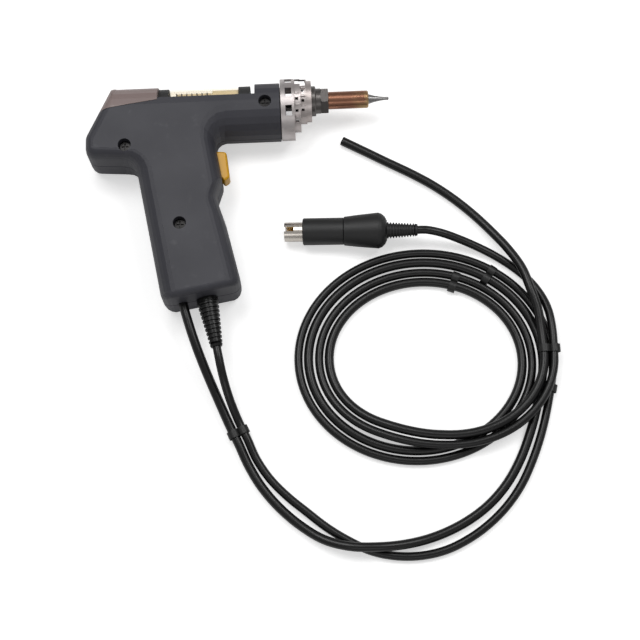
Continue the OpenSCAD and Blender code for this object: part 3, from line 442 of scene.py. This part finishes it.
insulatorLook = {
    "colour": srgb(34, 33, 32), "shade": srgb(26, 25, 25), "worn": srgb(60, 58, 56),
    "grainScale": 1500, "grainDepth": 0.00005, "roughness": 0.7,
}
plungerLook = {
    "colour": srgb(170, 40, 30), "shade": srgb(150, 32, 26), "worn": srgb(190, 90, 80),
    "grainScale": 1800, "grainDepth": 0.00003, "roughness": 0.4,
}
heaterLook = {
    "colour": srgb(66, 62, 60), "shade": srgb(48, 44, 43), "worn": srgb(110, 104, 98),
    "grainScale": 1300, "grainDepth": 0.00008, "roughness": 0.62, "rub": 0.4,
}
pipeLook = {
    "colour": srgb(205, 203, 200), "shade": srgb(180, 178, 175), "ringScale": 3000,
    "ringDepth": 0.00002, "roughness": 0.28,
}
springLook = {
    "colour": srgb(104, 98, 90), "shade": srgb(70, 64, 58), "ringScale": 2500,
    "ringDepth": 0.00002, "roughness": 0.34,
}
# the housing's screws, darkened to stand for the shade deep in their recesses: painted shade
recessShadeScrewLook = {
    "colour": srgb(48, 47, 47), "shade": srgb(30, 30, 30), "ringScale": 3000,
    "ringDepth": 0.00002, "roughness": 0.38,
}
darkSteelLook = {
    "colour": srgb(112, 109, 107), "shade": srgb(84, 80, 79), "ringScale": 2500,
    "ringDepth": 0.00003, "roughness": 0.34,
}
tipLook = {
    "colour": srgb(156, 155, 154), "shade": srgb(128, 126, 125), "ringScale": 3500,
    "ringDepth": 0.00003, "roughness": 0.3,
}
screwLook = {
    "colour": srgb(190, 188, 184), "shade": srgb(160, 157, 152), "ringScale": 3000,
    "ringDepth": 0.00002, "roughness": 0.32,
}
plugMetalLook = {
    "colour": srgb(214, 208, 200), "shade": srgb(190, 182, 174), "ringScale": 2800,
    "ringDepth": 0.00002, "roughness": 0.26,
}
pinLook = {
    "colour": srgb(212, 178, 110), "shade": srgb(190, 150, 84), "ringScale": 2800,
    "ringDepth": 0.00001, "roughness": 0.25,
}

guardLook = {
    "colour": srgb(206, 201, 200), "shade": srgb(166, 159, 158), "tint": srgb(186, 166, 156),
    "tintSpan": (0.030, 0.056), "tintShare": 0.3, "tintLeast": 0.5, "roughness": 0.4,
    "cloudScale": 140, "cloudDetail": 4, "cloudRoughness": 0.2,
    "grainScale": 1500, "grainDetail": 2, "grainStrength": 0.3, "grainDepth": 0.00003,
}


def guardFinish(values):
    # pressed nickel-plated sheet that heat has tinted towards the nozzle
    material, wire, shader = startMaterial("guardFinish", {"Metallic": 1.0})
    cloud = wire.noise(values["cloudScale"], values["cloudDetail"])
    grain = wire.noise(values["grainScale"], values["grainDetail"])
    heat = wire.place("X").over(*values["tintSpan"]) * (values["tintLeast"] + cloud)
    plated = wire.blend(cloud, values["colour"], values["shade"])
    feed(
        wire, shader,
        colour=wire.blend((heat * values["tintShare"]).limited(), plated, values["tint"]),
        roughness=(values["roughness"] + cloud.sway(values["cloudRoughness"])).limited(),
        normal=grain.relief(values["grainStrength"], values["grainDepth"]),
    )
    return material


sleeveLook = {
    "colour": srgb(158, 114, 92), "shade": srgb(122, 84, 68), "straw": srgb(182, 154, 110),
    "dark": srgb(96, 62, 50), "roughness": 0.3, "strawSpan": (0.0765, 0.0865),
    "ringScale": 3200, "ringDetail": 3, "ringStretch": (1, 0.03, 0.03), "ringStrength": 0.3,
    "ringDepth": 0.00002, "ringRoughness": 0.1,
    "filmScale": 150, "filmDetail": 4, "filmStretch": (0.6, 1, 1), "filmSpan": (0.3, 0.6),
    "filmRoughness": 0.18,
    "stainScale": 260, "stainDetail": 5, "stainStretch": (0.4, 1, 1),
    "stainSpan": (0.62, 0.74), "stainShare": 0.5,
}


def sleeveFinish(values):
    # bronze sleeve, straw-coloured at its front where it runs hottest
    material, wire, shader = startMaterial("sleeveFinish", {"Metallic": 1.0})
    rings = wire.noise(values["ringScale"], values["ringDetail"], values["ringStretch"])
    film = wire.noise(values["filmScale"], values["filmDetail"], values["filmStretch"])
    hot = wire.place("X").over(*values["strawSpan"])
    bronze = wire.blend(film, values["colour"], values["shade"])
    clouded = (hot * film.over(*values["filmSpan"])).limited()
    straw = wire.blend(clouded, bronze, values["straw"])
    stain = wire.noise(values["stainScale"], values["stainDetail"], values["stainStretch"])
    stained = stain.over(*values["stainSpan"]) * values["stainShare"]
    roughness = values["roughness"] + film.sway(values["filmRoughness"])
    feed(
        wire, shader,
        colour=wire.blend(stained, straw, values["dark"]),
        roughness=(roughness + rings.sway(values["ringRoughness"])).limited(),
        normal=rings.relief(values["ringStrength"], values["ringDepth"]),
    )
    return material


filterLook = {
    "colour": srgb(250, 236, 204), "shade": srgb(238, 220, 180), "fleck": srgb(214, 186, 132),
    "specular": 0.2, "roughness": 0.9,
    "fibreScale": 900, "fibreDetail": 4, "fibreStretch": (0.25, 1, 1), "fibreStrength": 0.6,
    "fibreDepth": 0.00025, "fibreRoughness": 0.1,
    "cloudScale": 110, "cloudDetail": 3,
    "fleckScale": 420, "fleckDetail": 4, "fleckSpan": (0.64, 0.78), "fleckShare": 0.4,
}


def filterFinish(values):
    # pressed fibre, its strands laid along the tube
    material, wire, shader = startMaterial("filterFinish", {
        "Specular IOR Level": values["specular"],
    })
    fibres = wire.noise(values["fibreScale"], values["fibreDetail"], values["fibreStretch"])
    cloud = wire.noise(values["cloudScale"], values["cloudDetail"])
    fleck = wire.noise(values["fleckScale"], values["fleckDetail"]).over(*values["fleckSpan"])
    tone = wire.blend(cloud, values["colour"], values["shade"])
    feed(
        wire, shader,
        colour=wire.blend(fleck * values["fleckShare"], tone, values["fleck"]),
        roughness=(values["roughness"] + fibres.sway(values["fibreRoughness"])).limited(),
        normal=fibres.relief(values["fibreStrength"], values["fibreDepth"]),
    )
    return material


glassLook = {
    "clear": (0.985, 0.965, 0.92, 1), "specular": 0.8, "roughness": 0.06,
    "least": 0.02, "edge": 0.16, "edgeBlend": 0.25,
    "dustScale": 300, "dustDetail": 4, "dustSpan": (0.6, 0.85), "dustShare": 0.02,
    "dustRoughness": 0.3,
}


def glassFinish(values):
    # clear where it is seen square on, glossy towards its edges, a little dust on it
    material, wire, shader = startMaterial("glassFinish", {
        "Base Color": values["clear"], "Specular IOR Level": values["specular"],
    })
    dust = wire.noise(values["dustScale"], values["dustDetail"]).over(*values["dustSpan"])
    edge = wire.node("ShaderNodeLayerWeight", {}, {"Blend": values["edgeBlend"]}, "Facing")
    clear = wire.node("ShaderNodeBsdfTransparent", {}, {"Color": values["clear"]})
    share = values["least"] + edge * values["edge"] + dust * values["dustShare"]
    mixed = wire.node("ShaderNodeMixShader", {}, {
        0: share.limited(), 1: clear, 2: Wire(wire.tree, shader.outputs[0]),
    })
    wire.tree.links.new(mixed.socket, wire.tree.nodes["Material Output"].inputs["Surface"])
    feed(wire, shader, roughness=values["roughness"] + dust * values["dustRoughness"])
    return material


finishes = {
    "housing": mouldedPlastic("housingFinish", housingLook),
    "rear_cap": mouldedPlastic("rearCapFinish", rearCapLook),
    "seal": mouldedPlastic("sealFinish", sealLook),
    "pipe": turnedMetal("pipeFinish", pipeLook),
    "spring": turnedMetal("springFinish", springLook),
    "glass": glassFinish(glassLook),
    "filter": filterFinish(filterLook),
    "guard": guardFinish(guardLook),
    "insulator": mouldedPlastic("insulatorFinish", insulatorLook),
    "screws": turnedMetal("screwFinish", screwLook),
    "dark_steel": turnedMetal("darkSteelFinish", darkSteelLook),
    "sleeve": sleeveFinish(sleeveLook),
    "heater": mouldedPlastic("heaterFinish", heaterLook),
    "tip": turnedMetal("tipFinish", tipLook),
    "trigger": mouldedPlastic("triggerFinish", triggerLook),
    "switch": mouldedPlastic("switchFinish", insulatorLook),
    "plunger": mouldedPlastic("plungerFinish", plungerLook),
    "cord": mouldedPlastic("cordFinish", cordLook),
    "plug_metal": turnedMetal("plugMetalFinish", plugMetalLook),
    "plug": mouldedPlastic("plugFinish", plugLook),
    "pins": turnedMetal("pinFinish", pinLook),
}
clipFinish = mouldedPlastic("clipFinish", clipLook)
recessShadeScrewFinish = turnedMetal("recessShadeScrewFinish", recessShadeScrewLook)


def dress(piece, material):
    piece.data.materials.clear()
    piece.data.materials.append(material)


for subpart in frame["record"]["subparts"]:
    dress(frame["nodes"][subpart["node"]], finishes[subpart["material_slot"]])
dress(frame["nodes"]["cord_clips"], clipFinish)
# the housing's screws take the finish darkened for their recesses' painted shade
dress(frame["nodes"]["housing_screws"], recessShadeScrewFinish)
dress(hose, finishes["cord"])
dress(cable, finishes["cord"])

print("guard details")

ironMiddle = 0.021  # the iron's middle plane above the floor, which holds the guard's axis


def joinTurned(pieces, name):
    # one object of several, its place and turn kept in its mesh
    for piece in pieces:
        piece.select_set(True)
    bpy.context.view_layer.objects.active = pieces[0]
    if len(pieces) > 1:
        bpy.ops.object.join()
    bpy.ops.object.transform_apply(location=True, rotation=True, scale=True)
    bpy.ops.object.shade_smooth()
    bpy.context.object.name = name
    return bpy.context.object


def addToIron(piece, slot):
    dress(piece, finishes[slot])
    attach(piece, "iron")


springValues = {"merge": 0.000002, "smooth": 60}


def makeSpring(node, jointName, values):
    # a copy of the part's spring, with its doubled points merged, in place of the part's own
    deselectAll()
    source = frame["nodes"][node]
    spring = source.copy()
    spring.data = source.data.copy()
    spring.name = node + "Coils"
    bpy.context.scene.collection.objects.link(spring)
    spring.select_set(True)
    bpy.context.view_layer.objects.active = spring
    bpy.ops.object.mode_set(mode="EDIT")
    bpy.ops.mesh.select_all(action="SELECT")
    bpy.ops.mesh.remove_doubles(threshold=values["merge"])
    bpy.ops.object.mode_set(mode="OBJECT")
    bpy.ops.object.shade_smooth_by_angle(angle=math.radians(values["smooth"]))
    joints = frame["record"]["behaviour"]["joints"]
    joint = [entry for entry in joints if entry["name"] == jointName][0]
    axis = Vector(joint["axis"])
    travel = joint["range_m"][1]
    along = sorted((vertex.co.dot(axis), vertex.index) for vertex in spring.data.vertices)
    length = along[-1][0] - along[0][0]
    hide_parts(node)
    1 - travel / length
    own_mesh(spring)
    print(node, "is", round(length, 4), "m long")
    return spring


addToIron(makeSpring("latch_spring", "rear_cap_slide", springValues), "spring")
addToIron(makeSpring("trigger_spring", "trigger_slide", springValues), "spring")

tabValues = {
    "length": 0.003, "width": 0.0015, "height": 0.0011, "sunk": 0.0003, "bevel": 0.0003,
    "bevelSteps": 3, "smooth": 40,
    "drums": (
        # middle in X, radius, the axis's Y, angles of the tabs
        (0.0401, 0.0181, 0.06042, (-46, -21, 6, 174, 201, 226)),
        (0.0443, 0.0152, 0.06324, (-33, -8, 14, 166, 188, 213)),
    ),
}


def makeTabs(values):
    # small raised tabs pressed out of the guard's front drums
    deselectAll()
    tabs = []
    for middle, radius, axisPlace, angles in values["drums"]:
        reach = radius + values["height"] / 2 - values["sunk"]
        for angle in angles:
            turn = math.radians(angle)
            bpy.ops.mesh.primitive_cube_add(
                size=1, rotation=(-turn, 0, 0), location=(
                    middle, axisPlace + reach * math.sin(turn),
                    ironMiddle + reach * math.cos(turn),
                ),
            )
            bpy.context.object.scale = (values["length"], values["width"], values["height"])
            tabs.append(bpy.context.object)
    piece = joinTurned(tabs, "guardTabs")
    edge = piece.modifiers.new("edge", "BEVEL")
    edge.width, edge.segments = values["bevel"], values["bevelSteps"]
    bpy.ops.object.modifier_apply(modifier=edge.name)
    bpy.ops.object.shade_smooth_by_angle(angle=math.radians(values["smooth"]))
    return piece


addToIron(makeTabs(tabValues), "guard")

liningValues = {"radius": 0.0083, "wall": 0.0006, "sides": 64, "gap": 0.0012}


def makeLining(values):
    # the filter's pale paper lining, inside the spring
    deselectAll()
    coils = [Vector(corner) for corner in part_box("baffle_spring")]
    start, end = coils[0].x + values["gap"], coils[1].x - values["gap"]
    bpy.ops.mesh.primitive_cylinder_add(
        vertices=values["sides"], radius=values["radius"], depth=end - start,
        end_fill_type="NOTHING", rotation=(0, math.pi / 2, 0),
        location=((start + end) / 2, (coils[0].y + coils[1].y) / 2, (coils[0].z + coils[1].z) / 2),
    )
    lining = joinTurned([bpy.context.object], "filterLining")
    thick = lining.modifiers.new("wall", "SOLIDIFY")
    thick.thickness = values["wall"]
    bpy.ops.object.modifier_apply(modifier=thick.name)
    return lining


addToIron(makeLining(liningValues), "filter")

rimValues = {
    "wire": 0.00055, "wireSides": 10, "segments": 96,
    "inset": 0.00052,  # from the guard's own outline
    "fromRear": (0.0009, 0.0092),
}


def makeRims(values):
    # two rolled rims round the widest drum, placed by the guard's own box
    deselectAll()
    low, high = (Vector(corner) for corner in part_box("heat_guard"))
    rings = []
    for distance in values["fromRear"]:
        bpy.ops.mesh.primitive_torus_add(
            major_radius=(high.y - low.y) / 2 - values["inset"], minor_radius=values["wire"],
            major_segments=values["segments"], minor_segments=values["wireSides"],
            location=(low.x + distance, (low.y + high.y) / 2, ironMiddle),
            rotation=(0, math.pi / 2, 0),
        )
        rings.append(bpy.context.object)
    return joinTurned(rings, "guardRims")


addToIron(makeRims(rimValues), "guard")

print("floor and light")

stageValues = {
    "size": 6.0, "below": 0.0002, "floor": srgb(244, 244, 244), "roughness": 0.9,
    "specular": 0.1,
    "lift": 0.5,  # the floor's own glow, where the camera sees it
    "room": 0.2,  # the world's light on the object
    "mirrored": 0.25,  # what a gloss shows of both
}
lampAim = (0.05, -0.08, 0.0)
lampValues = [
    # place, width, depth, watts
    ((-0.35, 0.45, 1.4), 0.9, 0.6, 9.0),
    ((0.7, 0.35, 1.2), 0.6, 0.6, 5.0),
    ((0.1, -1.2, 1.0), 1.2, 0.4, 2.0),
]


def rayKind(wire, name):
    return wire.node("ShaderNodeLightPath", output=name)


def makeFloor(values):
    bpy.ops.mesh.primitive_plane_add(size=values["size"], location=(0, 0, -values["below"]))
    floor = bpy.context.object
    floor.name = "floor"
    material, wire, shader = startMaterial("floorFinish", {
        "Base Color": values["floor"], "Roughness": values["roughness"],
        "Specular IOR Level": values["specular"],
    })
    seen = rayKind(wire, "Is Camera Ray") + rayKind(wire, "Is Transmission Ray")
    shown = (seen + rayKind(wire, "Is Glossy Ray") * values["mirrored"]).limited()
    glow = wire.node("ShaderNodeEmission", {}, {
        "Color": (1, 1, 1, 1), "Strength": shown * values["lift"],
    })
    both = wire.node("ShaderNodeAddShader", {}, {0: Wire(wire.tree, shader.outputs[0]), 1: glow})
    wire.tree.links.new(both.socket, wire.tree.nodes["Material Output"].inputs["Surface"])
    dress(floor, material)


def makeWorld(values):
    world = bpy.data.worlds.new("room")
    world.use_nodes = True
    bpy.context.scene.world = world
    wire = Wire(world.node_tree)
    mirrored = rayKind(wire, "Is Glossy Ray") * values["mirrored"]
    shown = (rayKind(wire, "Is Camera Ray") + mirrored).limited()
    strength = values["room"] + (1 - values["room"]) * shown
    sky = wire.tree.nodes["Background"]
    sky.inputs["Color"].default_value = (1, 1, 1, 1)
    wire.tree.links.new(strength.socket, sky.inputs["Strength"])


def makeLamps(lamps):
    for count, (place, width, depth, watts) in enumerate(lamps):
        data = bpy.data.lights.new("lamp" + str(count), "AREA")
        data.shape = "RECTANGLE"
        data.size, data.size_y = width, depth
        data.energy = watts
        lamp = bpy.data.objects.new("lamp" + str(count), data)
        bpy.context.scene.collection.objects.link(lamp)
        lamp.location = place
        away = Vector(place) - Vector(lampAim)
        lamp.rotation_euler = away.to_track_quat("Z", "Y").to_euler()


makeFloor(stageValues)
makeWorld(stageValues)
makeLamps(lampValues)
bpy.context.scene.view_settings.view_transform = "Standard"

print("finished")
